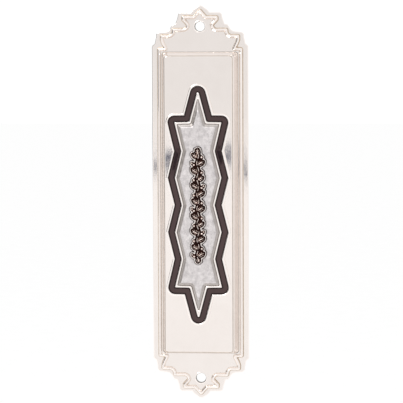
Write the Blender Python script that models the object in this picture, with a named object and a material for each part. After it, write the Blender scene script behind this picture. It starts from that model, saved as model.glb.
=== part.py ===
"""Wall-hung mezuzah case, modelled as the sheet-metal object it is.

A pressed face plate with a drawn box, a star-shaped plaque riveted on the box
with an enamel strip and a frosted field, and behind them the parts that the
case needs to hold its scroll: cover seats, a press-in rear cover, a foam pad,
the rolled parchment and its sleeve, and a spacer bush behind each screw hole.

Frame: metres, +Z up, +X to the viewer's right, the front faces -Y, and the
doorpost's surface is the plane y = 0. The origin is the middle of the back.
"""
import math

import bmesh
import bpy
from mathutils import Vector

MM = 0.001

# ---------------------------------------------------------------- dimensions
# All in millimetres. Depths are distances in front of the doorpost (y = -depth).
PLATE_HALF_W = 19.25      # face plate, half width at its long straight sides
PLATE_TIP = 78.8          # half height, at the tip of each crown
SHOULDER_Z = 62.6         # where the straight sides end
RIM_DEPTH = 1.2           # front of the flat outer rim
FIELD_DEPTH = 2.2         # front of the raised field inside the bead
BEAD_DEPTH = 3.0          # crest of the bead
BEAD_HALF = 0.62          # half width of the bead
SHEET = 0.8               # thickness of the pressed sheet
GAP = 0.3                 # clearance left between touching pieces

HOLE_Z = 70.4             # screw holes, one in each crown
HOLE_R = 1.9
BUSH_R = 3.4

BOX_FOOT = (14.9, 60.0)   # drawn box, half width and half height at its foot
BOX_FACE = (13.6, 58.9)   # and at its front panel
BOX_DEPTH = 10.6          # front of the panel
BOX_WALL = 0.6
BOX_CORNER = 1.2          # corner radius

STAR_BASE = 10.9          # plaque: back of the frame
STAR_FLOOR = 11.5         # floor of the enamel channel
STAR_RIM = 12.5           # top of the two rims
RIM_OUT = 0.9             # width of the outer rim
CHANNEL = 2.5             # width of the enamel channel
RIM_IN = 0.75             # width of the inner rim
FIELD_TOP = 13.2          # top of the frosted field

STUD_X, STUD_Z = 8.5, 31.6
STUD_R = 0.8

COVER_REAR = 0.4          # rear face of the press-in cover
COVER_FRONT = 1.2
COVER_HALF = (13.9, 59.0)
COVER_LIP = 3.4           # how far the cover's lip reaches into the box
COVER_LIP_HALF = (12.7, 57.8)

SCROLL_LEN = 100.0        # the parchment is 100 mm long and rolls up tight
SCROLL_R = 3.2
SCROLL_DEPTH = 6.0        # its axis, in front of the doorpost
SLEEVE_R = 3.7
SLEEVE_WALL = 0.25
SLEEVE_LEN = 104.0


# ------------------------------------------------------------------- outlines
def plate_quarter():
    """Outer edge of the face plate, from the middle of the side to the tip."""
    pts = [(PLATE_HALF_W, SHOULDER_Z), (18.1, 63.6), (17.5, 66.4)]
    pts += arc((16.0, 66.6), 1.6, 15, 80, 4)
    pts += [(14.0, 68.4)]
    pts += arc((14.0, 71.0), 2.5, 250, 200, 3)
    pts += [(11.0, 71.2), (9.8, 71.4), (8.9, 74.0)]
    pts += arc((7.5, 74.7), 1.3, 15, 80, 4)
    pts += [(3.7, 76.0), (3.0, 77.0), (0.9, 78.5), (0.0, PLATE_TIP)]
    return pts


def bead_quarter():
    """Centreline of the bead: it steps in at the shoulder, runs out round an
    ear, in round two coves, out round a smaller ear, and up to a chevron."""
    pts = [(16.35, 61.3), (13.6, 61.5), (14.8, 64.0), (15.2, 65.2), (15.2, 66.5)]
    pts += arc((12.6, 68.6), 2.1, 270, 180, 6)
    pts += [(10.5, 69.0)]
    pts += arc((6.7, 70.9), 1.9, 270, 180, 6)
    pts += [(4.9, 71.3), (6.6, 73.1), (6.6, 74.0), (2.3, 74.0), (0.0, 76.6)]
    return pts


def star_quarter():
    """Sharp outline of the enamel strip's outer edge, a long eight-lobed star."""
    return [(9.2, 0.0), (11.9, 10.75), (9.3, 21.4), (12.6, 35.3), (5.4, 35.4),
            (0.0, 55.8)]


STAR_ROUND = {3: 2.6, 5: 3.0, 1: 0.7, 2: 0.7, 0: 0.7, 4: 0.3}


def arc(centre, radius, start, end, steps):
    out = []
    for i in range(steps + 1):
        a = math.radians(start + (end - start) * i / steps)
        out.append((centre[0] + radius * math.cos(a), centre[1] + radius * math.sin(a)))
    return out


def mirror4(quarter):
    """A full counter-clockwise loop from its first quarter."""
    top_left = [(-x, z) for x, z in reversed(quarter) if x > 1e-9]
    bottom_left = [(-x, -z) for x, z in quarter if z > 1e-9]
    bottom_right = [(x, -z) for x, z in reversed(quarter) if x > 1e-9 and z > 1e-9]
    return list(quarter) + top_left + bottom_left + bottom_right


def offset(loop, d):
    """Mitred offset of a counter-clockwise loop, outwards for positive d."""
    n = len(loop)
    out = []
    for i in range(n):
        p0, p1, p2 = (Vector(loop[i - 1]), Vector(loop[i]), Vector(loop[(i + 1) % n]))
        a, b = (p1 - p0).normalized(), (p2 - p1).normalized()
        na, nb = Vector((a.y, -a.x)), Vector((b.y, -b.x))
        m = na + nb
        m = m.normalized() / max(0.15, m.normalized().dot(na))
        q = p1 + m * d
        out.append((q.x, q.y))
    return out


def fillet(loop, radii, steps=4):
    """Round the corners of a loop; radii maps a vertex index to its radius."""
    n = len(loop)
    out = []
    for i in range(n):
        r = radii.get(i, 0.0)
        p0, p1, p2 = (Vector(loop[i - 1]), Vector(loop[i]), Vector(loop[(i + 1) % n]))
        if r < 0.05:
            out.append((p1.x, p1.y))
            continue
        u, v = (p0 - p1), (p2 - p1)
        half = u.angle(v) / 2
        cut = min(r / math.tan(half), 0.8 * u.length, 0.8 * v.length)
        r = cut * math.tan(half)
        u.normalize()
        v.normalize()
        c = p1 + (u + v).normalized() * (r / math.sin(half))
        s, e = p1 + u * cut - c, p1 + v * cut - c
        turn = s.angle_signed(e)
        for k in range(steps + 1):
            t = -turn * k / steps
            out.append((c.x + s.x * math.cos(t) - s.y * math.sin(t),
                        c.y + s.x * math.sin(t) + s.y * math.cos(t)))
    return out


def star_loop(d):
    """The star outline moved outwards by d, corners rounded to suit."""
    quarter = star_quarter()
    sharp = mirror4(quarter)
    # The index in the quarter that each point of the full loop comes from.
    src = list(range(6)) + [4, 3, 2, 1, 0] + [1, 2, 3, 4, 5] + [4, 3, 2, 1]
    radii = {}
    for i, q in enumerate(src):
        convex = q in (1, 3, 5)
        r = STAR_ROUND[q] + (d if convex else -d * 0.2)
        radii[i] = max(0.35, r)
    return fillet(offset(sharp, d), radii)


def rounded_rect(half_w, half_h, r, steps=3):
    pts = []
    for cx, cz, a in ((1, 1, 0), (-1, 1, 90), (-1, -1, 180), (1, -1, 270)):
        pts += arc((cx * (half_w - r), cz * (half_h - r)), r, a, a + 90, steps)
    return pts


# ------------------------------------------------------------- solid builders
def finish(name, bm, material, location=(0, 0, 0), parent=None, smooth=40):
    bmesh.ops.recalc_face_normals(bm, faces=bm.faces)
    mesh = bpy.data.meshes.new(name)
    bm.to_mesh(mesh)
    bm.free()
    obj = bpy.data.objects.new(name, mesh)
    bpy.context.scene.collection.objects.link(obj)
    if material is not None:
        mesh.materials.append(material)
    mesh.shade_smooth()
    mesh.set_sharp_from_angle(angle=math.radians(smooth))
    obj.location = [c * MM for c in location]
    if parent is not None:
        obj.parent = parent
        obj.location = [c * MM - p for c, p in zip(location, parent.location)]
    return obj


def loft(bm, sections):
    """Join loops of equal length, each with its depth, and cap both ends."""
    rings = [[bm.verts.new((x * MM, -depth * MM, z * MM)) for x, z in loop]
             for loop, depth in sections]
    for lo, hi in zip(rings, rings[1:]):
        n = len(lo)
        for i in range(n):
            bm.faces.new((lo[i], lo[(i + 1) % n], hi[(i + 1) % n], hi[i]))
    bm.faces.new(rings[0])
    bm.faces.new(rings[-1])


def ring(bm, sections):
    """Join loops of equal length round a closed section, with no caps."""
    rings = [[bm.verts.new((x * MM, -depth * MM, z * MM)) for x, z in loop]
             for loop, depth in sections]
    for lo, hi in zip(rings, rings[1:] + rings[:1]):
        n = len(lo)
        for i in range(n):
            bm.faces.new((lo[i], lo[(i + 1) % n], hi[(i + 1) % n], hi[i]))


def solid(name, material, sections, closed_ring=False, **kw):
    bm = bmesh.new()
    (ring if closed_ring else loft)(bm, sections)
    return finish(name, bm, material, **kw)


def circle(r, x=0.0, z=0.0, n=24):
    return [(x + r * math.cos(2 * math.pi * i / n), z + r * math.sin(2 * math.pi * i / n))
            for i in range(n)]


def tool(name, sections):
    """A guide solid for a Boolean, left out of the model."""
    obj = solid(name, None, sections)
    obj.hide_render = True
    obj.display_type = 'WIRE'
    return obj


def boolean(obj, operation, other):
    mod = obj.modifiers.new(operation.title(), 'BOOLEAN')
    mod.operation = operation
    mod.solver = 'EXACT'
    mod.object = other


def metal(name, color, roughness, metallic=1.0):
    mat = bpy.data.materials.new(name)
    mat.use_nodes = True
    shader = mat.node_tree.nodes["Principled BSDF"]
    shader.inputs["Base Color"].default_value = (*color, 1.0)
    shader.inputs["Roughness"].default_value = roughness
    shader.inputs["Metallic"].default_value = metallic
    return mat


def empty(name, location):
    obj = bpy.data.objects.new(name, None)
    bpy.context.scene.collection.objects.link(obj)
    obj.location = [c * MM for c in location]
    return obj


# --------------------------------------------------------------- the sub-parts
def make_face_plate():
    mat = metal("face_plate", (0.86, 0.84, 0.82), 0.14)
    edge = mirror4(plate_quarter())
    plate = solid("face_plate", mat, [(edge, 0.0), (offset(edge, 0.0), RIM_DEPTH - 0.2),
                                      (offset(edge, -0.2), RIM_DEPTH)])
    line = mirror4(bead_quarter())
    b = BEAD_HALF
    raised = tool("tool_raised_field", [
        (offset(line, b), 0.6), (offset(line, b), BEAD_DEPTH - 0.4),
        (offset(line, b * 0.4), BEAD_DEPTH), (offset(line, -b * 0.4), BEAD_DEPTH),
        (offset(line, -b), BEAD_DEPTH - 0.4), (offset(line, -b), FIELD_DEPTH)])
    boolean(plate, 'UNION', raised)
    recess = tool("tool_back_recess", [(offset(line, -0.3), -1.0),
                                       (offset(line, -0.3), FIELD_DEPTH - SHEET)])
    boolean(plate, 'DIFFERENCE', recess)
    win = rounded_rect(BOX_FOOT[0] + GAP, BOX_FOOT[1] + GAP, BOX_CORNER + GAP)
    boolean(plate, 'DIFFERENCE', tool("tool_window", [(win, -1.0), (win, 4.0)]))
    for tag, s in (("upper", 1), ("lower", -1)):
        hole = circle(HOLE_R, 0.0, s * HOLE_Z)
        boolean(plate, 'DIFFERENCE', tool("tool_hole_" + tag, [(hole, -1.0), (hole, 4.0)]))


def make_scroll_box():
    mat = metal("scroll_box", (0.88, 0.86, 0.84), 0.10)
    fw, fh = BOX_FACE
    w, h = BOX_FOOT
    flange_back = 0.5
    box = solid("scroll_box", mat, [
        (rounded_rect(w, h, BOX_CORNER), flange_back + 0.05),
        (rounded_rect(w, h, BOX_CORNER), FIELD_DEPTH),
        (rounded_rect(fw, fh, BOX_CORNER), BOX_DEPTH - 0.35),
        (rounded_rect(fw - 0.35, fh - 0.35, BOX_CORNER - 0.3), BOX_DEPTH)])
    # The rear flange is wide at the sides and has a tongue at the top and bottom.
    quarter = [(15.7, 60.4), (12.4, 60.4), (12.4, 62.6)]
    flange = mirror4(quarter)
    boolean(box, 'UNION', tool("tool_flange", [(flange, flange_back),
                                               (flange, FIELD_DEPTH - SHEET - GAP)]))
    t = BOX_WALL
    inner = tool("tool_chamber", [
        (rounded_rect(w - t, h - t, BOX_CORNER - 0.3), -1.0),
        (rounded_rect(w - t, h - t, BOX_CORNER - 0.3), FIELD_DEPTH),
        (rounded_rect(fw - t, fh - t, BOX_CORNER - 0.3), BOX_DEPTH - t)])
    boolean(box, 'DIFFERENCE', inner)
    for tag, sx, sz in CORNERS:
        hole = circle(STUD_R + GAP, sx * STUD_X, sz * STUD_Z, 16)
        boolean(box, 'DIFFERENCE', tool("tool_stud_hole_" + tag,
                                        [(hole, BOX_DEPTH - 2.0), (hole, BOX_DEPTH + 1.0)]))


CORNERS = (("upper_left", -1, 1), ("upper_right", 1, 1),
           ("lower_left", -1, -1), ("lower_right", 1, -1))


def make_plaque():
    silver = metal("plaque_frame", (0.88, 0.86, 0.84), 0.12)
    outer, s0 = star_loop(RIM_OUT), star_loop(0.0)
    s1, s2 = star_loop(-CHANNEL), star_loop(-CHANNEL - RIM_IN)
    top = STAR_RIM - 0.25
    frame = solid("plaque_frame", silver, [
        (outer, STAR_BASE), (outer, top), (star_loop(RIM_OUT * 0.68), STAR_RIM),
        (star_loop(RIM_OUT * 0.32), STAR_RIM), (s0, top), (s0, STAR_FLOOR),
        (s1, STAR_FLOOR), (s1, top), (star_loop(-CHANNEL - RIM_IN * 0.32), STAR_RIM),
        (star_loop(-CHANNEL - RIM_IN * 0.68), STAR_RIM), (s2, top), (s2, STAR_FLOOR)])
    # Four studs on the back pass through the panel.
    for tag, sx, sz in CORNERS:
        stud = circle(STUD_R, sx * STUD_X, sz * STUD_Z, 16)
        tip = circle(STUD_R - 0.2, sx * STUD_X, sz * STUD_Z, 16)
        boolean(frame, 'UNION', tool("tool_stud_" + tag, [
            (tip, 8.7), (stud, 8.9), (stud, STAR_BASE + 0.3)]))

    enamel = metal("enamel_band", (0.03, 0.022, 0.022), 0.06, 0.0)
    a, b = star_loop(-GAP), star_loop(-CHANNEL + GAP)
    solid("enamel_band", enamel, [(a, STAR_FLOOR + GAP), (a, 12.15), (b, 12.15),
                                  (b, STAR_FLOOR + GAP)], closed_ring=True)

    frosted = metal("star_field", (0.80, 0.79, 0.78), 0.45)
    d = -CHANNEL - RIM_IN
    solid("star_field", frosted, [
        (star_loop(d - GAP), STAR_FLOOR + GAP), (star_loop(d - GAP), FIELD_TOP - 0.7),
        (star_loop(d - 0.85), FIELD_TOP)])


def garland(half_width, swell, margin, lobes=5, steps=8, half_len=22.3):
    """A leafy garland's outline: lobes swell to the left and right in turn
    along a stem that winds gently from one side to the other."""
    right, left = [], []
    n = lobes * 2 * steps
    for i in range(n + 1):
        t = i / n
        z = -half_len + 2 * half_len * t
        phase = t * lobes * 2 * math.pi
        stem = 0.5 * math.sin(phase)
        taper = min(1.0, 0.35 + 6.0 * min(t, 1 - t))
        r = stem + half_width * taper + swell * taper * max(0.0, math.sin(phase)) ** 2
        l = stem - half_width * taper - swell * taper * max(0.0, -math.sin(phase)) ** 2
        right.append((r + margin, z))
        left.append((l - margin, z))
    cap_top = [(0.0, half_len + 0.7 + margin)]
    cap_bottom = [(0.0, -half_len - 0.7 - margin)]
    return right + cap_top + list(reversed(left)) + cap_bottom


def make_ornament():
    dark = metal("ornament_plate", (0.03, 0.02, 0.018), 0.3)
    solid("ornament_plate", dark, [
        (garland(1.5, 1.0, 0.5), FIELD_TOP + GAP), (garland(1.5, 1.0, 0.5), FIELD_TOP + 0.7)])
    copper = metal("ornament_vine", (0.32, 0.17, 0.13), 0.18)
    solid("ornament_vine", copper, [
        (garland(0.9, 1.2, 0.0), FIELD_TOP + 1.0), (garland(0.9, 1.2, 0.0), FIELD_TOP + 1.3),
        (garland(0.6, 1.2, 0.0), FIELD_TOP + 1.6)])


def make_push_nuts():
    steel = metal("push_nut", (0.55, 0.55, 0.56), 0.35)
    for tag, sx, sz in CORNERS:
        inner, outer = circle(STUD_R + GAP, n=16), circle(2.2, n=16)
        back = BOX_DEPTH - BOX_WALL - GAP
        solid("push_nut_" + tag, steel, [
            (outer, -0.2), (outer, 0.2), (inner, 0.2), (inner, -0.2)], closed_ring=True,
            location=(sx * STUD_X, -(back - 0.2), sz * STUD_Z))


def make_bushes():
    brass = metal("screw_bush", (0.62, 0.60, 0.57), 0.3)
    for tag, s in (("upper", 1), ("lower", -1)):
        inner, outer = circle(HOLE_R), circle(BUSH_R)
        solid("screw_bush_" + tag, brass, [
            (outer, 0.0), (outer, FIELD_DEPTH - SHEET - GAP), (inner, FIELD_DEPTH - SHEET - GAP),
            (inner, 0.0)], closed_ring=True, location=(0, 0, s * HOLE_Z))


def make_cover(axis):
    mat = metal("rear_cover", (0.80, 0.79, 0.77), 0.28)
    w, h = COVER_HALF
    cover = solid("rear_cover", mat, [
        (rounded_rect(w, h, 1.0), COVER_REAR), (rounded_rect(w, h, 1.0), COVER_FRONT)],
        location=(0, 0, 0), parent=axis)
    lw, lh = COVER_LIP_HALF
    lip = tool("tool_cover_lip", [
        (rounded_rect(lw, lh, 1.0), COVER_FRONT - 0.3), (rounded_rect(lw, lh, 1.0), COVER_LIP)])
    boolean(cover, 'UNION', lip)
    inside = tool("tool_cover_inside", [
        (rounded_rect(lw - 0.6, lh - 0.6, 0.8), COVER_FRONT),
        (rounded_rect(lw - 0.6, lh - 0.6, 0.8), COVER_LIP + 1.0)])
    boolean(cover, 'DIFFERENCE', inside)
    # A nick in the lower edge takes a fingernail or a coin to lift the cover.
    nick = circle(4.0, 0.0, -62.0, 24)
    boolean(cover, 'DIFFERENCE', tool("tool_cover_nick", [(nick, -1.0), (nick, 2.2)]))

    foam = metal("scroll_pad", (0.18, 0.18, 0.19), 0.95, 0.0)
    pad = rounded_rect(3.0, 30.0, 0.8)
    solid("scroll_pad", foam, [(pad, COVER_FRONT + GAP), (pad, COVER_FRONT + 0.8)],
          location=(0, 0, 0), parent=axis)


def make_ledges():
    mat = metal("cover_ledge", (0.80, 0.79, 0.77), 0.3)
    for tag, s in (("left", -1), ("right", 1)):
        bar = rounded_rect(0.42, 54.0, 0.2, 2)
        solid("cover_ledge_" + tag, mat, [(bar, COVER_FRONT + GAP), (bar, 2.6)],
              location=(s * 13.47, 0, 0))


def make_scroll():
    """Parchment wound in a spiral with air between its turns."""
    paper = metal("scroll", (0.86, 0.80, 0.66), 0.8, 0.0)
    thick, pitch, turns, per_turn = 0.22, 0.52, 3.0, 20
    n = int(turns * per_turn)
    outer, inner = [], []
    for i in range(n + 1):
        a = 2 * math.pi * i / per_turn
        r = SCROLL_R - pitch * i / per_turn
        outer.append((r * math.cos(a), r * math.sin(a)))
        inner.append(((r - thick) * math.cos(a), (r - thick) * math.sin(a)))
    section = outer + list(reversed(inner))
    bm = bmesh.new()
    rings = [[bm.verts.new((x * MM, y * MM, z * MM)) for x, y in section]
             for z in (-SCROLL_LEN / 2, SCROLL_LEN / 2)]
    m = len(section)
    for i in range(m):
        bm.faces.new((rings[0][i], rings[0][(i + 1) % m], rings[1][(i + 1) % m], rings[1][i]))
    for verts in rings:
        for i in range(n):
            bm.faces.new((verts[i], verts[i + 1], verts[m - 2 - i], verts[m - 1 - i]))
    finish("scroll", bm, paper, location=(0, -SCROLL_DEPTH, 0))

    film = metal("scroll_sleeve", (0.85, 0.88, 0.9), 0.15, 0.0)
    bm = bmesh.new()
    rings = []
    for r, z in ((SLEEVE_R, -1), (SLEEVE_R, 1), (SLEEVE_R - SLEEVE_WALL, 1),
                 (SLEEVE_R - SLEEVE_WALL, -1)):
        rings.append([bm.verts.new((x * MM, y * MM, z * SLEEVE_LEN / 2 * MM))
                      for x, y in circle(r, n=32)])
    for lo, hi in zip(rings, rings[1:] + rings[:1]):
        for i in range(32):
            bm.faces.new((lo[i], lo[(i + 1) % 32], hi[(i + 1) % 32], hi[i]))
    finish("scroll_sleeve", bm, film, location=(0, -SCROLL_DEPTH, 0))


# ------------------------------------------------------------------- assembly
for old in list(bpy.data.objects):
    bpy.data.objects.remove(old)

make_face_plate()
make_scroll_box()
make_plaque()
make_ornament()
make_push_nuts()
make_bushes()
make_ledges()
cover_axis = empty("cover_lift_axis", (0.0, -COVER_REAR, 0.0))
make_cover(cover_axis)
make_scroll()
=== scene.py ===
import math

import bmesh
import bpy
import numpy as np
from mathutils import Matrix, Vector
from mathutils.geometry import tessellate_polygon


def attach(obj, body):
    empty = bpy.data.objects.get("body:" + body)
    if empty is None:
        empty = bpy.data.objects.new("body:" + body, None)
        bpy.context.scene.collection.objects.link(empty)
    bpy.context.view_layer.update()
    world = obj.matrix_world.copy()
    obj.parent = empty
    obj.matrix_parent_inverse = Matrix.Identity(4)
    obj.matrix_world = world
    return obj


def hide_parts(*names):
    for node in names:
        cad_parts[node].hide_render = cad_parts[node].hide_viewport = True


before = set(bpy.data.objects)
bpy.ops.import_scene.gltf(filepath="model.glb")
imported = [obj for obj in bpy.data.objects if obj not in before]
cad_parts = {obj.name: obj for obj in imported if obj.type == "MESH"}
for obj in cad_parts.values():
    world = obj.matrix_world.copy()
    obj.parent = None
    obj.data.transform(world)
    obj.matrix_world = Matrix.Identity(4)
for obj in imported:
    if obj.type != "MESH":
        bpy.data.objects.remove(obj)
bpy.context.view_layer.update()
MM = 0.001


# ============================================================ outline helpers
def arc(centre, radius, start, end, steps):
    out = []
    for i in range(steps + 1):
        a = math.radians(start + (end - start) * i / steps)
        out.append((centre[0] + radius * math.cos(a), centre[1] + radius * math.sin(a)))
    return out


def mirror4(quarter):
    top_left = [(-x, z) for x, z in reversed(quarter) if x > 1e-9]
    bottom_left = [(-x, -z) for x, z in quarter if z > 1e-9]
    bottom_right = [(x, -z) for x, z in reversed(quarter) if x > 1e-9 and z > 1e-9]
    return list(quarter) + top_left + bottom_left + bottom_right


def offset(loop, d):
    n = len(loop)
    out = []
    for i in range(n):
        p0, p1, p2 = Vector(loop[i - 1]), Vector(loop[i]), Vector(loop[(i + 1) % n])
        a, b = (p1 - p0).normalized(), (p2 - p1).normalized()
        na, nb = Vector((a.y, -a.x)), Vector((b.y, -b.x))
        m = (na + nb).normalized()
        m = m / max(0.15, m.dot(na))
        q = p1 + m * d
        out.append((q.x, q.y))
    return out


def fillet(loop, radii, steps=6):
    n = len(loop)
    out = []
    for i in range(n):
        r = radii.get(i, 0.0) if isinstance(radii, dict) else radii
        p0, p1, p2 = Vector(loop[i - 1]), Vector(loop[i]), Vector(loop[(i + 1) % n])
        u, v = p0 - p1, p2 - p1
        half = u.angle(v) / 2
        if r < 0.02 or half > math.radians(88):
            out.append((p1.x, p1.y))
            continue
        cut = min(r / math.tan(half), 0.8 * u.length, 0.8 * v.length)
        if not isinstance(radii, dict):
            cut = min(cut, 0.45 * u.length, 0.45 * v.length)
        r = cut * math.tan(half)
        u.normalize()
        v.normalize()
        c = p1 + (u + v).normalized() * (r / math.sin(half))
        s, e = p1 + u * cut - c, p1 + v * cut - c
        turn = s.angle_signed(e)
        for k in range(steps + 1):
            t = -turn * k / steps
            out.append((c.x + s.x * math.cos(t) - s.y * math.sin(t),
                        c.y + s.x * math.sin(t) + s.y * math.cos(t)))
    return out


def rounded_rect(half_w, half_h, r, steps=8):
    pts = []
    for cx, cz, a in ((1, 1, 0), (-1, 1, 90), (-1, -1, 180), (1, -1, 270)):
        pts += arc((cx * (half_w - r), cz * (half_h - r)), r, a, a + 90, steps)
    return pts


def circle(r, x=0.0, z=0.0, n=64):
    return [(x + r * math.cos(2 * math.pi * i / n), z + r * math.sin(2 * math.pi * i / n))
            for i in range(n)]


# ------------------------------------------------ the object's own dimensions
RIM, FIELD, BEAD, SHEET = 1.2, 2.2, 3.0, 0.8
HOLE_Z, HOLE_R = 70.4, 1.9
BOX_FOOT, BOX_FACE, BOX_DEPTH = (14.9, 60.0), (13.6, 58.9), 10.6
STAR_FLOOR, STAR_RIM, FIELD_TOP = 11.5, 12.5, 13.2
RIM_OUT, CHANNEL, RIM_IN = 0.9, 2.5, 0.75


def plate_quarter():
    pts = [(19.25, 62.6), (18.1, 63.6), (17.5, 66.4)]
    pts += arc((16.0, 66.6), 1.6, 15, 80, 8)
    pts += [(14.0, 68.4)]
    pts += arc((14.0, 71.0), 2.5, 250, 200, 8)
    pts += [(11.0, 71.2), (9.8, 71.4), (8.9, 74.0)]
    pts += arc((7.5, 74.7), 1.3, 15, 80, 8)
    pts += [(3.7, 76.0), (3.0, 77.0), (0.9, 78.5), (0.0, 78.8)]
    return pts


def bead_quarter():
    pts = [(16.35, 61.3), (13.6, 61.5), (14.8, 64.0), (15.2, 65.2), (15.2, 66.5)]
    pts += arc((12.6, 68.6), 2.1, 270, 180, 12)
    pts += [(10.5, 69.0)]
    pts += arc((6.7, 70.9), 1.9, 270, 180, 12)
    pts += [(4.9, 71.3), (6.6, 73.1), (6.6, 74.0), (2.3, 74.0), (0.0, 76.6)]
    return pts


STAR_ROUND = {3: 2.6, 5: 3.0, 1: 0.7, 2: 0.7, 0: 0.7, 4: 0.3}


def star_loop(d, steps=8):
    quarter = [(9.2, 0.0), (11.9, 10.75), (9.3, 21.4), (12.6, 35.3), (5.4, 35.4), (0.0, 55.8)]
    src = list(range(6)) + [4, 3, 2, 1, 0] + [1, 2, 3, 4, 5] + [4, 3, 2, 1]
    radii = {}
    for i, q in enumerate(src):
        convex = q in (1, 3, 5)
        radii[i] = max(0.3, STAR_ROUND[q] + (d if convex else -d * 0.2))
    return fillet(offset(mirror4(quarter), d), radii, steps)


# =============================================================== mesh builder
class Shell:
    """Collects rings of points, strips between them and flat fills."""

    def __init__(self):
        self.v, self.f, self.m = [], [], []

    def ring(self, loop, depth):
        start = len(self.v)
        self.v += [(x * MM, -depth * MM, z * MM) for x, z in loop]
        return list(range(start, len(self.v)))

    def strip(self, a, b, mat=0):
        n = len(a)
        for i in range(n):
            self.f.append((a[i], a[(i + 1) % n], b[(i + 1) % n], b[i]))
            self.m.append(mat)

    def profile(self, shape, steps, mat=0):
        """Rings from a list of (offset, depth), joined in turn; shape(offset)
        gives the loop. Returns all the rings."""
        rings = [self.ring(shape(o), d) for o, d in steps]
        for a, b in zip(rings, rings[1:]):
            self.strip(a, b, mat)
        return rings

    def fill(self, outer, holes=(), mat=0):
        """Triangles over a flat region. Rows of points at one height can make the
        tessellator miss a corner, so the region is turned until all is covered."""
        loops = [outer, *holes]
        flat = [i for loop in loops for i in loop]
        at = [(self.v[i][0] / MM, self.v[i][2] / MM) for i in flat]
        twice = lambda ids: sum(at[i][0] * at[j][1] - at[j][0] * at[i][1]
                                for i, j in zip(ids, ids[1:] + ids[:1]))
        starts = np.cumsum([0] + [len(loop) for loop in loops])
        areas = [abs(twice(list(range(a, b)))) for a, b in zip(starts, starts[1:])]
        want = areas[0] - sum(areas[1:])
        best = None
        for turn in (0.0, 0.371, 0.713, 1.137, 1.912, 2.531):
            c, n = math.cos(turn), math.sin(turn)
            spun = [Vector((x * c - z * n, x * n + z * c, 0.0)) for x, z in at]
            tris = tessellate_polygon([spun[a:b] for a, b in zip(starts, starts[1:])])
            gap = abs(sum(abs(twice(list(t))) for t in tris) - want)
            gap += abs(len(tris) - (len(flat) + 2 * len(holes) - 2))
            if best is None or gap < best[0]:
                best = (gap, tris)
            if gap < 0.01:
                break
        for t in best[1]:
            self.f.append(tuple(flat[k] for k in t))
            self.m.append(mat)

    def build(self, name, mats, angle=38):
        mesh = bpy.data.meshes.new(name)
        mesh.from_pydata(self.v, [], self.f)
        mesh.polygons.foreach_set("material_index", self.m)
        bm = bmesh.new()
        bm.from_mesh(mesh)
        bmesh.ops.remove_doubles(bm, verts=bm.verts, dist=1e-7)
        bmesh.ops.recalc_face_normals(bm, faces=bm.faces)
        bm.to_mesh(mesh)
        bm.free()
        obj = bpy.data.objects.new(name, mesh)
        bpy.context.scene.collection.objects.link(obj)
        for mat in mats if isinstance(mats, (list, tuple)) else [mats]:
            mesh.materials.append(mat)
        mesh.shade_smooth()
        mesh.set_sharp_from_angle(angle=math.radians(angle))
        return obj


# ================================================================== materials
class Nodes:
    """Short names for building a material's nodes."""

    def __init__(self, name):
        self.mat = bpy.data.materials.new(name)
        self.mat.use_nodes = True
        self.t = self.mat.node_tree
        self.bsdf = self.t.nodes["Principled BSDF"]
        self.coord = self.t.nodes.new("ShaderNodeTexCoord").outputs["Object"]

    def put(self, socket, value):
        self.bsdf.inputs[socket].default_value = value

    def link(self, out, socket):
        self.t.links.new(out, self.bsdf.inputs[socket])

    def mapping(self, scale=(1, 1, 1), rotation=(0, 0, 0)):
        n = self.t.nodes.new("ShaderNodeMapping")
        n.inputs["Scale"].default_value = scale
        n.inputs["Rotation"].default_value = rotation
        self.t.links.new(self.coord, n.inputs["Vector"])
        return n.outputs["Vector"]

    def noise(self, scale, detail=3.0, rough=0.5, vector=None, distortion=0.0):
        n = self.t.nodes.new("ShaderNodeTexNoise")
        n.inputs["Scale"].default_value = scale
        n.inputs["Detail"].default_value = detail
        n.inputs["Roughness"].default_value = rough
        n.inputs["Distortion"].default_value = distortion
        self.t.links.new(vector or self.coord, n.inputs["Vector"])
        return n.outputs["Fac"]

    def voronoi(self, scale, feature="F1", out="Distance", vector=None):
        n = self.t.nodes.new("ShaderNodeTexVoronoi")
        n.feature = feature
        n.inputs["Scale"].default_value = scale
        self.t.links.new(vector or self.coord, n.inputs["Vector"])
        return n.outputs[out]

    def remap(self, value, lo, hi, to_lo, to_hi):
        n = self.t.nodes.new("ShaderNodeMapRange")
        for k, v in (("From Min", lo), ("From Max", hi), ("To Min", to_lo), ("To Max", to_hi)):
            n.inputs[k].default_value = v
        self.t.links.new(value, n.inputs["Value"])
        return n.outputs["Result"]

    def ramp(self, value, stops):
        n = self.t.nodes.new("ShaderNodeValToRGB")
        while len(n.color_ramp.elements) < len(stops):
            n.color_ramp.elements.new(0.5)
        for e, (p, c) in zip(n.color_ramp.elements, stops):
            e.position = p
            e.color = (*c, 1.0)
        self.t.links.new(value, n.inputs["Fac"])
        return n.outputs["Color"]

    def math(self, op, a, b):
        n = self.t.nodes.new("ShaderNodeMath")
        n.operation = op
        for k, v in ((0, a), (1, b)):
            if isinstance(v, (int, float)):
                n.inputs[k].default_value = v
            else:
                self.t.links.new(v, n.inputs[k])
        return n.outputs[0]

    def bump(self, height, distance, strength=1.0, normal=None):
        n = self.t.nodes.new("ShaderNodeBump")
        n.inputs["Strength"].default_value = strength
        n.inputs["Distance"].default_value = distance
        self.t.links.new(height, n.inputs["Height"])
        if normal is not None:
            self.t.links.new(normal, n.inputs["Normal"])
        return n.outputs["Normal"]


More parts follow.
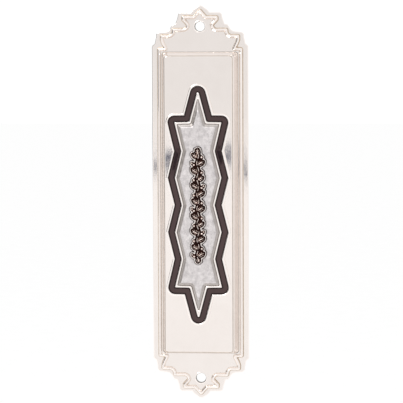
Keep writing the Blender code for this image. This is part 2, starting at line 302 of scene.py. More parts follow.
def polished(name, light, dark, rough=(0.06, 0.13), wave=0.00002, wave_scale=90.0,
             scratch=0.0000006, rotation=0.0):
    """Polished plated sheet: hand-worn haze, hairline scratches, faint waves."""
    n = Nodes(name)
    n.put("Metallic", 1.0)
    haze = n.noise(130.0, 5.0, 0.62, distortion=0.6)
    n.link(n.ramp(haze, [(0.25, dark), (0.75, light)]), "Base Color")
    fine = n.noise(1.0, 3.0, 0.6, n.mapping((900, 900, 14000), (0, rotation, 0)))
    haze2 = n.noise(420.0, 4.0, 0.6)
    mix = n.math('ADD', n.math('MULTIPLY', haze2, 0.7), n.math('MULTIPLY', fine, 0.3))
    n.link(n.remap(mix, 0.32, 0.68, rough[0], rough[1]), "Roughness")
    b = n.bump(n.noise(wave_scale, 1.5, 0.4), wave)
    b = n.bump(fine, scratch, normal=b)
    n.link(b, "Normal")
    return n.mat


def frosted(name, light, dark):
    """Fine sand-blasted grain that sparkles."""
    n = Nodes(name)
    n.put("Metallic", 1.0)
    grain = n.voronoi(5200.0, "F1", "Distance")
    fine = n.noise(3800.0, 3.0, 0.7)
    blotch = n.noise(520.0, 4.0, 0.6)
    mix = n.math('ADD', n.math('MULTIPLY', fine, 0.6), n.math('MULTIPLY', blotch, 0.4))
    n.link(n.ramp(mix, [(0.36, dark), (0.62, light)]), "Base Color")
    n.link(n.remap(blotch, 0.3, 0.7, 0.30, 0.46), "Roughness")
    b = n.bump(grain, 0.00005, 0.8)
    b = n.bump(fine, 0.00006, 0.7, normal=b)
    n.link(b, "Normal")
    return n.mat


def enamel(name, light, dark, ior):
    n = Nodes(name)
    n.put("IOR", ior)
    n.put("Specular Tint", (1.0, 0.72, 0.71, 1.0))
    tone = n.noise(260.0, 4.0, 0.6)
    n.link(n.ramp(tone, [(0.3, dark), (0.7, light)]), "Base Color")
    n.link(n.remap(n.noise(900.0, 3.0, 0.6), 0.3, 0.7, 0.025, 0.055), "Roughness")
    b = n.bump(n.noise(240.0, 2.0, 0.5), 0.000005)
    n.link(b, "Normal")
    return n.mat


def toned_metal(name, light, dark, rough=(0.16, 0.3), grain=0.00002):
    n = Nodes(name)
    n.put("Metallic", 1.0)
    tone = n.noise(1100.0, 4.0, 0.65)
    n.link(n.ramp(tone, [(0.32, dark), (0.7, light)]), "Base Color")
    n.link(n.remap(n.noise(1900.0, 3.0, 0.6), 0.3, 0.7, rough[0], rough[1]), "Roughness")
    n.link(n.bump(n.noise(2400.0, 3.0, 0.6), grain, 0.5), "Normal")
    return n.mat


def satin(name, light, dark, stretch=(300, 300, 9000), rough=(0.24, 0.4)):
    n = Nodes(name)
    n.put("Metallic", 1.0)
    lines = n.noise(1.0, 4.0, 0.65, n.mapping(stretch))
    haze = n.noise(200.0, 4.0, 0.6)
    n.link(n.ramp(haze, [(0.3, dark), (0.7, light)]), "Base Color")
    n.link(n.remap(lines, 0.3, 0.7, rough[0], rough[1]), "Roughness")
    n.link(n.bump(lines, 0.000006), "Normal")
    return n.mat


def parchment(name):
    n = Nodes(name)
    tone = n.noise(160.0, 5.0, 0.6)
    n.link(n.ramp(tone, [(0.3, (0.62, 0.51, 0.34)), (0.7, (0.76, 0.66, 0.47))]), "Base Color")
    n.put("Roughness", 0.72)
    fibre = n.noise(1.0, 4.0, 0.7, n.mapping((2600, 2600, 700)))
    n.link(n.bump(fibre, 0.00003, 0.6), "Normal")
    return n.mat


def film(name):
    n = Nodes(name)
    n.put("Base Color", (0.93, 0.95, 0.97, 1.0))
    n.put("Transmission Weight", 0.0)
    n.put("Alpha", 0.22)
    n.link(n.remap(n.noise(400.0, 3.0, 0.6), 0.3, 0.7, 0.06, 0.16), "Roughness")
    n.link(n.bump(n.noise(180.0, 3.0, 0.5), 0.00008), "Normal")
    return n.mat


def foam(name):
    n = Nodes(name)
    cells = n.voronoi(2600.0)
    n.link(n.ramp(cells, [(0.1, (0.012, 0.012, 0.014)), (0.6, (0.045, 0.045, 0.05))]), "Base Color")
    n.put("Roughness", 0.95)
    n.link(n.bump(cells, 0.00012, 0.8), "Normal")
    return n.mat


SILVER = (0.91, 0.848, 0.81)
SILVER_D = (0.88, 0.815, 0.775)
m_plate = polished("plate_silver", SILVER, SILVER_D, (0.03, 0.08), 0.00002, 80.0)
m_box = polished("box_silver", SILVER, SILVER_D, (0.025, 0.065), 0.00002, 60.0)
m_wall = polished("box_wall", (0.90, 0.868, 0.85), (0.87, 0.836, 0.815), (0.02, 0.05), 0.00002, 60.0)
m_frame = polished("plaque_silver", (0.95, 0.90, 0.87), SILVER, (0.05, 0.12), 0.00001, 200.0)
# Tarnish with painted shade: a dark line in the concave feet of the bead.
m_groove_shade = toned_metal("groove_tarnish_and_painted_shade", (0.64, 0.53, 0.42), (0.44, 0.36, 0.275), (0.28, 0.45), 0.00002)
m_foot = toned_metal("box_foot", (0.86, 0.77, 0.68), (0.66, 0.57, 0.48), (0.2, 0.35), 0.00002)
# Painted shade: a dark brown line along the rounded front edge of the box.
m_front_edge_shade = toned_metal("front_edge_painted_shade", (0.52, 0.44, 0.36), (0.34, 0.28, 0.225), (0.25, 0.4), 0.00002)
# Painted shade: a darker copy of the frosted silver for the bevel around the field.
m_slope_shaded = frosted("field_slope_painted_shade", (0.52, 0.485, 0.465), (0.36, 0.33, 0.315))
# Unpolished satin, darkened further as painted shade inside the screw holes.
m_hole_shade = satin("hole_wall_satin_and_shade", (0.34, 0.32, 0.30), (0.20, 0.185, 0.17), (3000, 9000, 3000), (0.3, 0.5))
m_enamel = enamel("dark_enamel", (0.011, 0.006, 0.006), (0.006, 0.003, 0.003), 1.77)
# Painted shade: a darker enamel for the band's edges next to the rims.
m_enamel_edge_shade = enamel("enamel_edge_painted_shade", (0.007, 0.004, 0.004), (0.004, 0.002, 0.002), 1.42)
m_field = frosted("frosted_silver", (0.81, 0.77, 0.765), (0.42, 0.39, 0.39))
# Blackened ground of the ornament, also used for its outer edge band as tarnish with painted contact
# shadow.
m_blackened_and_edge_shadow = toned_metal("blackened_metal_and_painted_edge_shadow", (0.028, 0.012, 0.009), (0.011, 0.005, 0.004), (0.2, 0.34))
m_copper = toned_metal("bright_copper", (0.97, 0.89, 0.85), (0.76, 0.60, 0.53), (0.14, 0.26), 0.00001)
m_rimsilver = toned_metal("ornament_edge", (0.86, 0.81, 0.78), (0.62, 0.57, 0.55), (0.16, 0.3), 0.00002)
m_steel = satin("spring_steel", (0.36, 0.36, 0.37), (0.27, 0.27, 0.28), (3000, 3000, 3000))
m_bush = satin("bush_nickel", (0.58, 0.55, 0.51), (0.5, 0.47, 0.43), (3000, 3000, 9000))
m_cover = satin("cover_satin", (0.66, 0.64, 0.61), (0.58, 0.56, 0.53))
m_back = satin("plate_back", (0.60, 0.58, 0.55), (0.50, 0.48, 0.45), (2200, 2200, 2200), (0.3, 0.5))
m_paper = parchment("parchment")
m_film = film("clear_film")
m_foam = foam("dark_foam")


# ================================================================= face plate
def softened(line):
    """An offset whose corners are rounded on their outer side, the same way for
    every offset, so that the rings match point for point."""
    n = len(line)
    corners = {}
    for i in range(n):
        a = Vector(line[i]) - Vector(line[i - 1])
        b = Vector(line[(i + 1) % n]) - Vector(line[i])
        if a.angle(b) > math.radians(20):
            corners[i] = a.angle_signed(b) < 0
    def shape(d):
        radii = {i: 0.0 for i in range(n)}
        for i, convex in corners.items():
            radii[i] = 0.10 + max(0.0, d if convex else -d)
        return fillet(offset(line, d), radii, 5)

    return shape


def make_face_plate():
    s = Shell()
    edge = mirror4(plate_quarter())
    line = mirror4(bead_quarter())
    soft = softened(line)
    win = lambda d: rounded_rect(BOX_FOOT[0] + 0.3 + d, BOX_FOOT[1] + 0.3 + d, 1.2 + d)
    rim = s.profile(lambda d: offset(edge, d), [
        (-0.42, 0.0), (-0.30, 0.0), (-0.12, 0.04), (-0.02, 0.14), (0.0, 0.3), (0.0, 0.82),
        (-0.03, 0.97), (-0.10, 1.09), (-0.20, 1.165), (-0.34, 1.2), (-0.42, 1.2)])
    section = [
        (0.96, 1.2), (0.88, 1.2), (0.77, 1.21), (0.66, 1.27), (0.60, 1.42), (0.585, 2.0),
        (0.565, 2.22), (0.50, 2.45), (0.40, 2.66), (0.28, 2.83), (0.14, 2.955), (0.0, 3.0),
        (-0.14, 2.955), (-0.28, 2.83), (-0.40, 2.67), (-0.50, 2.49), (-0.58, 2.33),
        (-0.66, 2.24), (-0.76, 2.2), (-0.84, 2.2)]
    bead = [s.ring(soft(o), d) for o, d in section]
    for k, (a, b) in enumerate(zip(bead, bead[1:])):
        # Material 2 in the bead's feet (strips 1-3 and 17) is tarnish with painted shade, a dark line
        # in the creases on both sides of the bead.
        s.strip(a, b, 2 if k in (1, 2, 3, 17) else 0)
    s.fill(rim[-1], [bead[0]])
    mouth = s.profile(win, [(0.14, 2.2), (0.08, 2.2), (0.02, 2.14), (0.0, 2.05), (0.0, 1.5),
                            (0.0, 1.4), (0.1, 1.4)])
    holes = []
    for z in (HOLE_Z, -HOLE_Z):
        h = [s.ring(circle(HOLE_R + o, 0.0, z), d) for o, d in [
            (0.66, 2.2), (0.60, 2.2), (0.52, 2.21), (0.44, 2.25), (0.35, 2.31), (0.26, 2.32),
            (0.19, 2.27), (0.15, 2.18), (0.12, 2.0), (0.02, 1.5), (0.02, 1.4), (0.12, 1.4)]]
        for k, (a, b) in enumerate(zip(h, h[1:])):
            # The hole's inner wall takes the dark satin, an unpolished wall with painted shade inside
            # the hole.
            s.strip(a, b, 3 if k >= 7 else 0)
        holes.append(h)
    s.fill(bead[-1], [mouth[0], *[h[0] for h in holes]])
    wall = s.profile(lambda d: offset(line, d), [
        (-0.45, 1.4), (-0.36, 1.4), (-0.30, 1.3), (-0.30, 0.2), (-0.22, 0.05), (-0.1, 0.0),
        (0.0, 0.0)], 1)
    s.fill(wall[0], [mouth[-1], *[h[-1] for h in holes]], 1)
    s.fill(rim[0], [wall[-1]], 1)
    plate = s.build("face_plate_skin", [m_plate, m_back, m_groove_shade, m_hole_shade])
    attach(plate, "case")
    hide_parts("face_plate")


# ================================================================= scroll box
def make_box():
    s = Shell()
    fw, fh = BOX_FACE
    w, h = BOX_FOOT

    def at(inset, t, r=0.9):
        """A section of the box: t is 0 at the foot and 1 at the panel."""
        return rounded_rect(w + (fw - w) * t - inset, h + (fh - h) * t - inset, r)

    depth = lambda t: FIELD + (BOX_DEPTH - FIELD) * t
    outer = [s.ring(c, d) for c, d in [
        (at(0.0, 0.0, 1.2), 1.1), (at(0.0, 0.0, 1.2), 1.9), (at(-0.24, 0.0, 1.4), 2.02),
        (at(-0.27, 0.0, 1.4), 2.22), (at(-0.19, 0.0, 1.35), 2.27), (at(-0.06, 0.0, 1.26), 2.42),
        (at(0.0, 0.05, 1.2), depth(0.05)), (at(0.0, 0.5, 1.2), depth(0.5)),
        (at(0.0, 0.93, 1.2), depth(0.93)), (at(0.03, 0.958, 1.17), depth(0.958)),
        (at(0.11, 0.98, 1.09), depth(0.98)), (at(0.23, 0.994, 0.97), depth(0.994)),
        (at(0.38, 1.0, 0.82), BOX_DEPTH), (at(0.48, 1.0, 0.72), BOX_DEPTH)]]
    for k, (a, b) in enumerate(zip(outer, outer[1:])):
        # Material 3 on the two strips where the front edge rounds over is painted shade, a dark line
        # along the edge.
        s.strip(a, b, 2 if k == 3 else 3 if k in (9, 10) else 4 if k in (6, 7) else 0)
    front_holes = []
    for sx in (-1, 1):
        for sz in (-1, 1):
            front_holes.append(s.profile(
                lambda d, sx=sx, sz=sz: circle(1.1 + d, sx * 8.5, sz * 31.6, 32),
                [(0.3, 10.6), (0.15, 10.6), (0.0, 10.5), (0.0, 10.1), (0.15, 10.0), (0.3, 10.0)]))
    s.fill(outer[-1], [x[0] for x in front_holes])
    inner = [s.ring(c, d) for c, d in [
        (at(1.0, 1.0, 0.5), 10.0), (at(0.9, 1.0, 0.6), 10.0), (at(0.7, 0.99, 0.6), 9.85),
        (at(0.6, 0.93, 0.6), depth(0.9)), (at(0.6, 0.0, 0.6), FIELD), (at(0.6, 0.0, 0.6), 0.7),
        (at(0.52, 0.0, 0.6), 0.55), (at(0.42, 0.0, 0.6), 0.5), (at(0.36, 0.0, 0.6), 0.5)]]
    for a, b in zip(inner, inner[1:]):
        s.strip(a, b, 1)
    s.fill(inner[0], [x[-1] for x in front_holes], 1)
    quarter = [(15.7, 60.4), (12.4, 60.4), (12.4, 62.6)]
    lip = fillet(mirror4(quarter), 0.6, 5)
    # A reflex corner is rounded the other way, so the tongue meets the side softly.
    flange = s.profile(lambda d: offset(lip, d), [
        (-0.12, 0.5), (-0.06, 0.5), (0.0, 0.56), (0.0, 1.04), (-0.06, 1.1), (-0.12, 1.1)], 1)
    s.fill(flange[0], [inner[-1]], 1)
    s.fill(flange[-1], [outer[0]], 1)
    box = s.build("scroll_box_skin", [m_box, m_back, m_foot, m_front_edge_shade, m_wall])
    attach(box, "case")
    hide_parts("scroll_box")


# ===================================================================== plaque
def make_plaque():
    s = Shell()
    rings = s.profile(star_loop, [
        (0.86, 10.62), (0.9, 10.72), (0.9, 11.9), (0.885, 12.1), (0.82, 12.29), (0.71, 12.42),
        (0.57, 12.485), (0.45, 12.5), (0.33, 12.485), (0.19, 12.42), (0.08, 12.29),
        (0.02, 12.1), (0.0, 11.9), (0.0, 11.5), (-CHANNEL, 11.5), (-CHANNEL, 11.9),
        (-2.52, 12.1), (-2.58, 12.29), (-2.69, 12.42), (-2.82, 12.485), (-2.95, 12.5),
        (-3.08, 12.485), (-3.21, 12.42), (-3.32, 12.29), (-3.38, 12.1), (-3.40, 11.9),
        (-3.40, 11.55), (-3.46, 11.5), (-3.54, 11.5)])
    s.fill(rings[-1])
    # The studs on the back: each has a foot that swells into the plate.
    studs = []
    for sx in (-1, 1):
        for sz in (-1, 1):
            p = s.profile(lambda r, sx=sx, sz=sz: circle(r, sx * 8.5, sz * 31.6, 32), [
                (1.05, 10.62), (0.85, 10.5), (0.8, 10.3), (0.8, 8.95), (0.74, 8.8), (0.6, 8.72),
                (0.5, 8.7)])
            s.fill(p[-1])
            studs.append(p[0])
    s.fill(rings[0], studs)
    plaque = s.build("plaque_frame_skin", m_frame, 50)
    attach(plaque, "case")
    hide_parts("plaque_frame")

    s = Shell()
    half = CHANNEL / 2
    across = [(-0.03, 12.20), (-0.07, 12.12), (-0.14, 12.06), (-0.26, 12.03), (-0.45, 12.02),
              (-0.75, 12.02), (-half, 12.02)]
    top = across + [(-CHANNEL - o, d) for o, d in reversed(across[:-1])]
    rings = [s.ring(star_loop(o), d) for o, d in
             [(-0.03, 11.55)] + top + [(-CHANNEL + 0.03, 11.55)]]
    for k, (a, b) in enumerate(zip(rings, rings[1:])):
        # The edge strips and the underside take the darker enamel, painted shade along both rims of the
        # band.
        s.strip(a, b, 0 if 4 < k < 9 else 1)
    s.strip(rings[-1], rings[0], 1)
    band = s.build("enamel_band_skin", [m_enamel, m_enamel_edge_shade], 60)
    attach(band, "case")
    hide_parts("enamel_band")

    s = Shell()
    section = [
        (-3.43, 11.8), (-3.43, 12.05), (-3.46, 12.16), (-3.53, 12.25), (-3.64, 12.32), (-4.05, 12.58),
        (-4.42, 12.92), (-4.56, 13.06), (-4.68, 13.15), (-4.82, 13.2), (-4.96, 13.2)]
    rings = [s.ring(star_loop(o), d) for o, d in section]
    for k, (a, b) in enumerate(zip(rings, rings[1:])):
        # The bevel strips take the darker frosted copy, painted shade on the slope around the field.
        s.strip(a, b, 1 if k < 6 else 0)
    s.fill(rings[-1])
    s.fill(rings[0], (), 1)
    field = s.build("star_field_skin", [m_field, m_slope_shaded], 50)
    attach(field, "case")
    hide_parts("star_field")


# =================================================================== ornament
def lens(x, z, cx, cz, ux, uz, half_len, half_wide):
    """Distance to a pointed leaf lying along (ux, uz), negative inside."""
    u = (x - cx) * ux + (z - cz) * uz
    v = np.abs((x - cx) * uz - (z - cz) * ux)
    r = (half_len ** 2 + half_wide ** 2) / (2 * half_wide)
    c = r - half_wide
    side = np.sqrt(u ** 2 + (v + c) ** 2) - r
    tip = np.sqrt((np.abs(u) - half_len) ** 2 + v ** 2)
    return np.where(np.abs(u) * c > half_len * (v + c), tip, side)


def blend_min(a, b, k):
    h = np.clip(0.5 + 0.5 * (b - a) / k, 0.0, 1.0)
    return b + (a - b) * h - k * h * (1 - h)


# A vine of fourteen leaves that leave a waving stem to the left and right in turn,
# each with a berry across the stem from it, and a bud at either end.
def stem_x(z):
    return 0.40 * np.sin(z * 2 * math.pi / 6.04)


LEAVES = []
for k in range(14):
    side = 1 if k % 2 else -1
    z0 = 18.9 - 3.02 * k
    reach = 1.0 if k % 3 else 0.9
    ux, uz = side * 0.86, 0.51
    x0 = float(stem_x(z0)) + side * 0.12
    LEAVES.append((x0, z0, ux, uz, 1.58 * reach, 1.02 * reach, side))
BERRIES = [(float(stem_x(z0)) - side * 1.22, z0 + 0.1, 0.52) for x0, z0, ux, uz, a, b, side in LEAVES]
BERRIES += [(float(stem_x(z0)) - side * 2.0, z0 + 0.78, 0.38)
            for x0, z0, ux, uz, a, b, side in LEAVES[1::3]]
BUDS = [(0.0, 21.3, 0.0, 1.0, 1.3, 0.85), (0.0, -21.9, 0.0, -1.0, 0.95, 0.8)]


def leaf_centre(leaf):
    x0, z0, ux, uz, a, b = leaf[:6]
    return x0 + ux * a * 1.02, z0 + uz * a * 1.02


def make_ornament():
    step = 0.08
    xs = np.arange(-3.6, 3.6 + step, step)
    zs = np.arange(-23.7, 23.7 + step, step)
    x, z = np.meshgrid(xs, zs, indexing="ij")
    wave = stem_x(z)
    stem = np.maximum(np.abs(x - wave) * 0.93 - 0.30, np.abs(z) - 21.6)
    d = stem - 1.05
    dome = np.zeros_like(x)
    for leaf in LEAVES + BUDS:
        if len(leaf) == 7:
            cx, cz = leaf_centre(leaf)
        else:
            cx, cz = leaf[0], leaf[1]
        dl = lens(x, z, cx, cz, leaf[2], leaf[3], leaf[4], leaf[5])
        d = blend_min(d, dl - 0.92, 0.6)
        dome = np.maximum(dome, np.clip(-dl / 0.8, 0, 1) ** 0.6)
    for bx, bz, r in BERRIES:
        d = blend_min(d, np.hypot(x - bx, z - bz) - r - 0.84, 0.6)
    # Points near the outline and near the rim's inner line move onto them.
    for _ in range(2):
        gx, gz = np.gradient(d, step)
        g = np.maximum(np.hypot(gx, gz), 0.3)
        if _ == 0:
            px, pz = x.copy(), z.copy()
            lines = ((0.0, 0.55), (-0.27, 0.45), (-0.60, 0.45))
            moved = np.zeros_like(x)
            for level, reach in lines:
                near = np.abs(d - level) < reach * step
                px = np.where(near, x - (d - level) * gx / g ** 2, px)
                pz = np.where(near, z - (d - level) * gz / g ** 2, pz)
                moved = np.where(near, level - d, moved)
    ds = d + moved
    rise = np.clip(-ds / 0.28, 0, 1)
    fall = np.clip((-ds - 0.54) / 0.12, 0, 1)
    ground = 13.58 + 0.20 * dome
    rim = 13.46 + 0.32 * rise
    depth = rim * (1 - fall) + ground * fall
    inside = ds <= 1e-6
    s = Shell()
    index = -np.ones(x.shape, dtype=int)
    for i, j in zip(*np.nonzero(inside)):
        index[i, j] = len(s.v)
        s.v.append((px[i, j] * MM, -depth[i, j] * MM, pz[i, j] * MM))
    for i in range(len(xs) - 1):
        for j in range(len(zs) - 1):
            q = [(i, j), (i + 1, j), (i + 1, j + 1), (i, j + 1)]
            ids = [index[c] for c in q]
            good = [c for c, k in zip(q, ids) if k >= 0]
            if len(good) < 3:
                continue
            mean = sum(ds[c] for c in good) / len(good)
            s.f.append(tuple(int(index[c]) for c in good))
            # The rim band is silver. The ground inside is blackened metal. The outer slope outside the
            # rim is also blackened, as tarnish with painted contact shadow around the ornament.
            s.m.append(1 if -0.60 < mean < -0.27 else 0)
    # Close it: a skirt down to the field and a flat underside.
    n = len(s.v)
    count = {}
    for f in s.f:
        for k in range(len(f)):
            a, b = f[k], f[(k + 1) % len(f)]
            count[(a, b)] = count.get((a, b), 0) + 1
    border = [(a, b) for a, b in count if (b, a) not in count]
    s.v += [(vx, -13.22 * MM, vz) for vx, _, vz in s.v]
    s.f += [tuple(k + n for k in reversed(f)) for f in s.f]
    s.m += [0] * (len(s.f) // 2)
    for a, b in border:
        s.f.append((b, a, a + n, b + n))
        s.m.append(0)
    plate = s.build("ornament_plate_skin", [m_blackened_and_edge_shadow, m_rimsilver], 30)
    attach(plate, "case")
    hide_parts("ornament_plate")

    # The bright relief: midribs, side veins, berries and the stem's coils.
    s = Shell()

    def stroke(points, widths, low, high, sides=10):
        """A raised stroke along the points, with an arched section and round ends."""
        pts = [Vector(q) for q in points]
        rings = []
        n = len(pts)
        for i, q in enumerate(pts):
            along = (pts[min(i + 1, n - 1)] - pts[max(i - 1, 0)]).normalized()
            across = Vector((-along.y, along.x))
            w = widths[i]
            grow = w / max(widths)
            ring = []
            for k in range(sides + 1):
                a = math.pi * k / sides
                o = q + across * (w * math.cos(a))
                ring.append(len(s.v))
                s.v.append((o.x * MM, -(low + (high - low) * math.sin(a) * grow ** 0.5) * MM, o.y * MM))
            rings.append(ring)
        for r0, r1 in zip(rings, rings[1:]):
            for k in range(sides):
                s.f.append((r0[k], r0[k + 1], r1[k + 1], r1[k]))
                s.m.append(0)
            s.f.append((r0[sides], r0[0], r1[0], r1[sides]))
            s.m.append(0)
        s.f.append(tuple(reversed(rings[0])))
        s.f.append(tuple(rings[-1]))
        s.m += [0, 0]

    def dot(cx, cz, r, low, high, n=20, m=6):
        rings = []
        for j in range(m):
            a = math.pi / 2 * j / m
            rings.append(s.ring(circle(r * math.cos(a), cx, cz, n), low + (high - low) * math.sin(a)))
        for r0, r1 in zip(rings, rings[1:]):
            s.strip(r0, r1)
        top = len(s.v)
        s.v.append((cx * MM, -high * MM, cz * MM))
        for k in range(n):
            s.f.append((rings[-1][k], rings[-1][(k + 1) % n], top))
            s.m.append(0)
        s.f.append(tuple(reversed(rings[0])))
        s.m.append(0)

    def taper(n, w, ends=(0.35, 0.12)):
        out = []
        for i in range(n):
            t = i / (n - 1)
            out.append(w * (ends[0] + (1 - ends[0]) * min(1, t * 4) if t < 0.25 else
                            1 - (1 - ends[1]) * max(0.0, (t - 0.55) / 0.45) ** 1.6))
        return out

    for leaf in LEAVES + BUDS:
        if len(leaf) == 7:
            cx, cz = leaf_centre(leaf)
            side = leaf[6]
        else:
            cx, cz, side = leaf[0], leaf[1], 1
        ux, uz, a, b = leaf[2:6]
        vx, vz = -uz, ux
        at = lambda u, v: (cx + ux * u * a + vx * v * b, cz + uz * u * a + vz * v * b)
        mid = [at(-0.95 + 1.8 * t / 12, 0.10 * math.sin(math.pi * t / 12)) for t in range(13)]
        stroke(mid, taper(13, 0.25), 13.66, 14.5)
        for sgn in (-1, 1):
            for base, tip, out in ((-0.66, 0.0, 0.80), (0.06, 0.52, 0.62)):
                vein = [at(base + (tip - base) * (t / 7) ** 1.3, sgn * (0.34 + (out - 0.34) * t / 7))
                        for t in range(8)]
                stroke(vein, taper(8, 0.135, (0.5, 0.6)), 13.66, 14.25)
    for bx, bz, r in BERRIES:
        dot(bx, bz, r, 13.6, 14.2 + r)
    z0 = 20.4
    while z0 > -20.6:
        pts = [(float(stem_x(z0 - t * 0.24)) , z0 - t * 0.24) for t in range(10)]
        stroke(pts, taper(10, 0.21, (0.3, 0.3)), 13.58, 14.3)
        z0 -= 2.55
    vine = s.build("ornament_vine_skin", m_copper, 60)
    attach(vine, "case")
    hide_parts("ornament_vine")


# ================================================================= rear pieces
def make_cover():
    s = Shell()
    w, h = 13.9, 59.0

    def edge(d):
        """The cover's outline with a thumb nick in its lower edge."""
        loop = rounded_rect(w + d, h + d, max(0.3, 1.0 + d), 8)
        cut = 4.0 - d
        half = math.asin(min(1.0, math.sqrt(max(0.0, cut ** 2 - (62.0 - h - d) ** 2)) / cut))
        nick = [(cut * math.sin(a), -62.0 + cut * math.cos(a))
                for a in [-half + 2 * half * k / 16 for k in range(17)]]
        out = []
        for i, q in enumerate(loop):
            out.append(q)
            nxt = loop[(i + 1) % len(loop)]
            if q[1] < -h - d + 0.01 and q[0] < 0 and nxt[1] < -h - d + 0.01 and nxt[0] > 0:
                out += nick
        return out

    rings = s.profile(edge, [(-0.60, 0.4), (-0.40, 0.4), (-0.22, 0.42), (-0.08, 0.49), (0.0, 0.62),
                             (0.0, 1.0), (-0.06, 1.13), (-0.16, 1.19), (-0.28, 1.2)])
    # A shallow raised panel stiffens the back of the sheet.
    panel = s.profile(lambda d: rounded_rect(11.6 + d, 54.6 + d, 2.2 + d, 10), [
        (0.5, 0.4), (0.35, 0.4), (0.16, 0.43), (0.0, 0.5), (-0.12, 0.53), (-0.3, 0.55), (-0.5, 0.55)])
    s.fill(rings[0], [panel[0]])
    s.fill(panel[-1])
    lip = s.profile(lambda d: rounded_rect(12.7 + d, 57.8 + d, max(0.2, 1.0 + d), 8), [
        (0.12, 1.2), (0.04, 1.22), (0.0, 1.3), (0.0, 3.2), (-0.05, 3.34), (-0.15, 3.4),
        (-0.45, 3.4), (-0.55, 3.34), (-0.6, 3.2), (-0.6, 1.35), (-0.66, 1.22), (-0.8, 1.2)])
    s.fill(rings[-1], [lip[0]])
    s.fill(lip[-1])
    cover = s.build("rear_cover_skin", m_cover, 50)
    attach(cover, "rear_cover")
    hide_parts("rear_cover")


def tube_rings(s, radius, z_list):
    rings = []
    for z in z_list:
        start = len(s.v)
        for k in range(64):
            a = 2 * math.pi * k / 64
            s.v.append((radius * math.cos(a) * MM, (-6.0 + radius * math.sin(a)) * MM, z * MM))
        rings.append(list(range(start, len(s.v))))
    return rings


def make_scroll():
    s = Shell()
    turns, steps, sheet, pitch, outer = 3.0, 46, 0.22, 0.52, 3.2
    n = int(turns * steps)
    out_line, in_line = [], []
    for k in range(n + 1):
        a = 2 * math.pi * k / steps + 0.6
        r = outer - pitch * k / steps
        out_line.append((r * math.cos(a), r * math.sin(a)))
        in_line.append(((r - sheet) * math.cos(a), (r - sheet) * math.sin(a)))
    loop = out_line + list(reversed(in_line))
    rings = []
    zs = [-50.0, -49.9, -49.0] + [-48 + 6 * i for i in range(17)] + [49.0, 49.9, 50.0]
    for z in zs:
        start = len(s.v)
        s.v += [(x * MM, (-6.0 + y) * MM, z * MM) for x, y in loop]
        rings.append(list(range(start, len(s.v))))
    for a, b in zip(rings, rings[1:]):
        s.strip(a, b)
    m = len(loop)
    for ring, flip in ((rings[0], 1), (rings[-1], 0)):
        for k in range(n):
            q = (ring[k], ring[k + 1], ring[m - 2 - k], ring[m - 1 - k])
            s.f.append(tuple(reversed(q)) if flip else q)
            s.m.append(0)
    roll = s.build("scroll_skin", m_paper, 50)
    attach(roll, "scroll")
    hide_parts("scroll")

    s = Shell()
    zs = [-52.0, -51.9] + [-48 + 8 * i for i in range(13)] + [51.9, 52.0]
    outside, inside = tube_rings(s, 3.7, zs), tube_rings(s, 3.45, zs)
    for group in (outside, inside):
        for a, b in zip(group, group[1:]):
            s.strip(a, b)
    s.strip(outside[0], inside[0])
    s.strip(outside[-1], inside[-1])
    sleeve = s.build("scroll_sleeve_skin", m_film, 40)
    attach(sleeve, "scroll")
    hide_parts("scroll_sleeve")


def make_turned(name, node, x, z, bore, wide, front, back, soft, mat):
    """A turned ring with rounded edges, from depth back to depth front."""
    s = Shell()
    rings = s.profile(lambda r: circle(r, x, z, 64), [
        (wide, back + soft), (wide, front - soft), (wide - 0.3 * soft, front - 0.3 * soft),
        (wide - soft, front), (bore + soft, front), (bore + 0.3 * soft, front - 0.3 * soft),
        (bore, front - soft), (bore, back + soft), (bore + 0.3 * soft, back + 0.3 * soft),
        (bore + soft, back), (wide - soft, back), (wide - 0.3 * soft, back + 0.3 * soft)])
    s.strip(rings[-1], rings[0])
    ring = s.build(name, mat, 50)
    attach(ring, "case")
    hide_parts(node)


def make_small_parts():
    for tag, sgn in (("upper", 1), ("lower", -1)):
        # The bushes take the same dark satin, painted shade seen through the screw holes.
        make_turned(f"screw_bush_{tag}_skin", f"screw_bush_{tag}", 0.0, sgn * HOLE_Z, HOLE_R, 3.4,
                    1.1, 0.0, 0.14, m_hole_shade)
        for side, sx in (("left", -1), ("right", 1)):
            make_turned(f"push_nut_{tag}_{side}_skin", f"push_nut_{tag}_{side}", sx * 8.5,
                        sgn * 31.6, 1.1, 2.2, 9.7, 9.3, 0.1, m_steel)


make_face_plate()
make_box()
make_small_parts()
make_plaque()
make_ornament()
make_cover()
make_scroll()

CARRY = {"cover_ledge_left": m_cover, "cover_ledge_right": m_cover, "scroll_pad": m_foam}
for node, mat in CARRY.items():
    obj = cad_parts[node]
    for slot in obj.material_slots:
        slot.material = mat

# ========================================================== floor and lighting
floor_mat = Nodes("pale_floor")
floor_mat.put("Roughness", 0.9)
floor_mat.put("Specular IOR Level", 0.0)
tone = floor_mat.noise(30.0, 3.0, 0.5)
floor_mat.link(floor_mat.ramp(tone, [(0.2, (0.94, 0.94, 0.94)), (0.8, (0.96, 0.96, 0.96))]),
               "Base Color")
mesh = bpy.data.meshes.new("floor")
R = 12.0
mesh.from_pydata([(-R, -R, -0.5), (R, -R, -0.5), (R, R, -0.5), (-R, R, -0.5)], [], [(0, 1, 2, 3)])
floor = bpy.data.objects.new("floor", mesh)
bpy.context.scene.collection.objects.link(floor)
mesh.materials.append(floor_mat.mat)


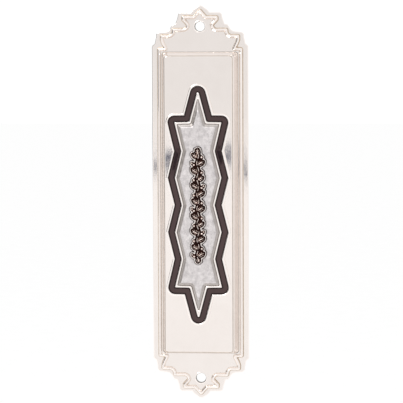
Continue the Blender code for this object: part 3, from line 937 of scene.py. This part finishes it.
def card(name, centre, size, facing, roll=0.0, colour=(0.01, 0.01, 0.012), glow=None):
    """A studio card seen only in reflections; facing is where its front points."""
    mesh = bpy.data.meshes.new(name)
    w, h = size[0] / 2, size[1] / 2
    mesh.from_pydata([(-w, -h, 0), (w, -h, 0), (w, h, 0), (-w, h, 0)], [], [(0, 1, 2, 3)])
    obj = bpy.data.objects.new(name, mesh)
    bpy.context.scene.collection.objects.link(obj)
    obj.location = centre
    d = (Vector(facing) - Vector(centre)).normalized()
    obj.rotation_euler = d.to_track_quat('Z', 'Y').to_euler()
    obj.rotation_euler.rotate_axis('Z', roll)
    mat = bpy.data.materials.new(name)
    mat.use_nodes = True
    b = mat.node_tree.nodes["Principled BSDF"]
    b.inputs["Base Color"].default_value = (*colour, 1.0)
    b.inputs["Roughness"].default_value = 1.0
    b.inputs["Specular IOR Level"].default_value = 0.0
    if glow:
        # Its own light, in bands from the lower edge (0) to the upper edge (1).
        tree = mat.node_tree
        split = tree.nodes.new("ShaderNodeSeparateXYZ")
        tree.links.new(tree.nodes.new("ShaderNodeTexCoord").outputs["Generated"], split.inputs[0])
        ramp = tree.nodes.new("ShaderNodeValToRGB")
        while len(ramp.color_ramp.elements) < len(glow):
            ramp.color_ramp.elements.new(0.5)
        for e, (p, v) in zip(ramp.color_ramp.elements, glow):
            e.position = p
            e.color = (v, v, v, 1.0)
        tree.links.new(split.outputs["Y"], ramp.inputs["Fac"])
        tree.links.new(ramp.outputs["Color"], b.inputs["Emission Color"])
        b.inputs["Emission Strength"].default_value = 1.2
        b.inputs["Base Color"].default_value = (0.0, 0.0, 0.0, 1.0)
    mesh.materials.append(mat)
    obj.visible_camera = False
    obj.visible_shadow = False
    obj.visible_diffuse = False
    return obj


card("front_card", (-0.10, -1.35, -0.09), (0.50, 0.80), (-0.10, 0.0, -0.09), 0.0, (0, 0, 0),
     [(0.0, 0.80), (0.25, 0.83), (0.47, 0.875), (0.545, 0.84), (0.60, 0.755), (1.0, 0.755)])
DUSK = (0.13, 0.14, 0.185)
card("dark_strip", (-0.0780, -0.90, -0.0336), (0.058, 0.0130), (0, 0, 0), math.radians(-6), DUSK)
card("dark_strip_left", (-0.1150, -0.90, -0.0422), (0.014, 0.0095), (0, 0, 0), 0.0, DUSK)
card("dark_strip_right", (-0.0420, -0.90, -0.0436), (0.012, 0.0125), (0, 0, 0), 0.0, DUSK)
card("dark_left", (-0.92, -0.10, 0.42), (0.74, 0.80), (0, -0.10, 0.1), 0.0, (0.006, 0.006, 0.006))
card("dark_behind", (-0.80, 0.62, 0.20), (0.70, 0.60), (0, 0, 0.05), 0.0, (0.006, 0.006, 0.006))

world = bpy.data.worlds.new("studio")
bpy.context.scene.world = world
world.use_nodes = True
bg = world.node_tree.nodes["Background"]
bg.inputs["Color"].default_value = (1.0, 1.0, 1.0, 1.0)
bg.inputs["Strength"].default_value = 1.04


def area(name, location, target, size, power, colour=(1, 1, 1)):
    light = bpy.data.lights.new(name, 'AREA')
    light.shape = 'RECTANGLE'
    light.size, light.size_y = size
    light.energy = power
    light.color = colour
    obj = bpy.data.objects.new(name, light)
    bpy.context.scene.collection.objects.link(obj)
    obj.location = location
    d = Vector(target) - Vector(location)
    obj.rotation_euler = d.to_track_quat('-Z', 'Y').to_euler()
    return obj


area("key", (-0.7, -0.9, 1.1), (0, 0, 0), (0.8, 0.8), 9.0)

# ===================================================================== camera
AZ, EL, DIST = math.radians(4.95), math.radians(4.4), 0.957
AIM = Vector((0.00036, -0.0012, 0.00058))
cam_data = bpy.data.cameras.new("camera")
cam_data.lens_unit = 'FOV'
cam_data.angle = math.radians(9.624)
cam = bpy.data.objects.new("camera", cam_data)
bpy.context.scene.collection.objects.link(cam)
back = Vector((math.sin(AZ) * math.cos(EL), -math.cos(AZ) * math.cos(EL), math.sin(EL)))
cam.location = AIM + back * DIST
cam.rotation_euler = back.to_track_quat('Z', 'Y').to_euler()
cam.rotation_euler.rotate_axis('Z', math.radians(-0.22))
bpy.context.scene.camera = cam
bpy.context.scene.view_settings.view_transform = 'Standard'
